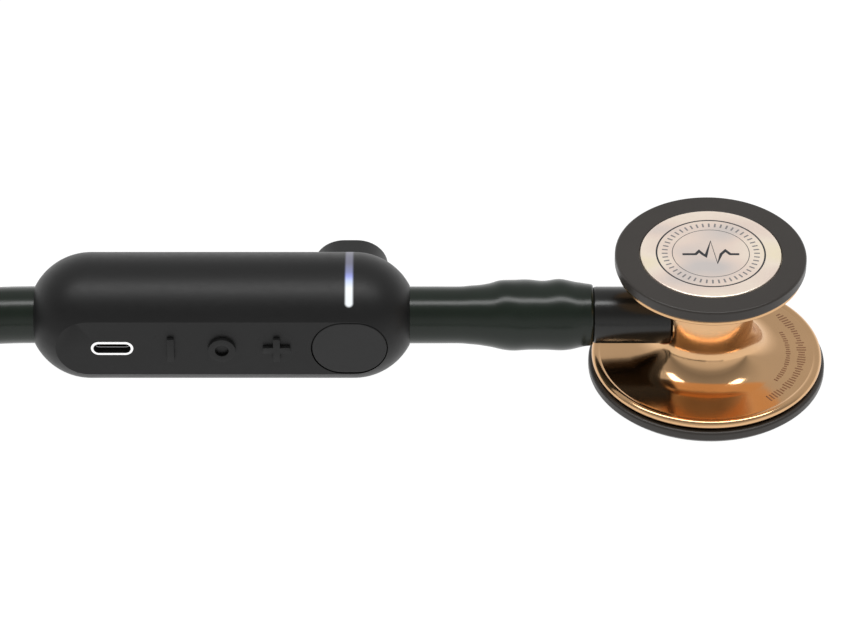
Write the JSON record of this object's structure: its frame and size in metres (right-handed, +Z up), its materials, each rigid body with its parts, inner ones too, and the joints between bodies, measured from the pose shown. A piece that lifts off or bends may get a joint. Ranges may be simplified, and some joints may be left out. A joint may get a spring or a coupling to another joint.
{
  "type": "stethoscope",
  "caption": "Stethoscope with a copper-coloured double-sided chestpiece, a capsule-shaped electronic module in its tube, and a sprung two-tube headset lying flat.",
  "frame": {"origin": "centre of the large diaphragm's face, which lies on the table", "axes": "+Z up; +X along the stem from the module towards the chestpiece; +Y away from the headset"},
  "size_m": [0.3317, 0.2273, 0.0299],
  "materials": {
    "copper": "polished copper-coloured metal",
    "smoke_metal": "smooth black coated metal",
    "rim_rubber": "satin black moulded ring",
    "champagne_face": "satin champagne metallic face",
    "diaphragm_resin": "satin dark resin",
    "tube_rubber": "smooth green-black rubber with a soft gloss",
    "housing_plastic": "fine matte soft-touch black",
    "key_plastic": "fine matte soft-touch black",
    "slider_plastic": "fine matte dark grey",
    "ring_white": "white",
    "steel": "satin steel",
    "seal_rubber": "matte black",
    "inner_plastic": "plain moulded grey",
    "board": "green board",
    "battery_foil": "soft foil",
    "light_pipe": "clear, lit blue to white",
    "eartip_silicone": "soft matte black"
  },
  "bodies": {
    "module": {"front_housing": "housing_plastic", "back_cover": "housing_plastic", "port_ring": "ring_white", "usb_receptacle": "steel", "minus_switch": "inner_plastic", "connect_switch": "inner_plastic", "plus_switch": "inner_plastic", "valve_block": "inner_plastic", "left_port_bush": "seal_rubber", "right_port_bush": "seal_rubber", "slider_detent_ball": "steel", "slider_detent_spring": "steel", "right_connector": "inner_plastic", "left_connector": "inner_plastic", "air_duct": "inner_plastic", "chest_microphone": "steel", "ear_speaker": "steel", "circuit_board": "board", "battery": "battery_foil", "light_pipe": "light_pipe", "led_board": "board", "chest_tube": "tube_rubber", "stem": "smoke_metal", "stem_o_ring": "seal_rubber", "stem_retaining_ring": "steel", "index_ball": "steel", "index_spring": "steel", "main_tube": "tube_rubber", "yoke": "tube_rubber", "headset_spring": "steel"},
    "chestpiece": {"chestpiece_body": "copper", "large_diaphragm": "diaphragm_resin", "large_rim": "rim_rubber", "small_diaphragm": "champagne_face", "small_rim": "rim_rubber"},
    "minus_key": {"minus_button": "key_plastic"},
    "connect_key": {"connect_button": "key_plastic"},
    "plus_key": {"plus_button": "key_plastic"},
    "mode_bar": {"mode_slider": "slider_plastic"},
    "left_arm": {"left_branch": "tube_rubber"},
    "right_arm": {"right_branch": "tube_rubber"},
    "left_ear": {"left_ear_tube": "steel", "left_tip_adapter": "steel", "left_eartip": "eartip_silicone"},
    "right_ear": {"right_ear_tube": "steel", "right_tip_adapter": "steel", "right_eartip": "eartip_silicone"}
  },
  "joints": [
    {"name": "chestpiece_turn", "type": "hinge", "parent": "module", "child": "chestpiece", "pos_m": [-0.0046, 0, 0.0144], "axis": [1, 0, 0], "continuous": true},
    {"name": "minus_press", "type": "slide", "parent": "module", "child": "minus_key", "axis": [0, 1, 0], "range_m": [0, 0.0004], "stiffness_N_per_m": 600},
    {"name": "connect_press", "type": "slide", "parent": "module", "child": "connect_key", "axis": [0, 1, 0], "range_m": [0, 0.0004], "stiffness_N_per_m": 600},
    {"name": "plus_press", "type": "slide", "parent": "module", "child": "plus_key", "axis": [0, 1, 0], "range_m": [0, 0.0004], "stiffness_N_per_m": 600},
    {"name": "mode_slide", "type": "slide", "parent": "module", "child": "mode_bar", "axis": [0, -1, 0], "range_m": [0, 0.0059]},
    {"name": "left_arm_open", "type": "hinge", "parent": "module", "child": "left_arm", "pos_m": [-0.088, -0.1505, 0.0059], "axis": [0, 0, 1], "range_deg": [-5, 25], "stiffness_Nm_per_rad": 0.6, "deforming": ["headset_spring"]},
    {"name": "right_arm_open", "type": "hinge", "parent": "module", "child": "right_arm", "pos_m": [-0.088, -0.1695, 0.0059], "axis": [0, 0, -1], "range_deg": [-5, 25], "stiffness_Nm_per_rad": 0.6, "deforming": ["headset_spring"]},
    {"name": "left_tube_twist", "type": "hinge", "parent": "left_arm", "child": "left_ear", "pos_m": [-0.03935, -0.13218, 0.0059], "axis": [0.9563, 0.2924, 0], "range_deg": [-20, 20]},
    {"name": "right_tube_twist", "type": "hinge", "parent": "right_arm", "child": "right_ear", "pos_m": [-0.03935, -0.18782, 0.0059], "axis": [0.9563, -0.2924, 0], "range_deg": [-20, 20]}
  ]
}
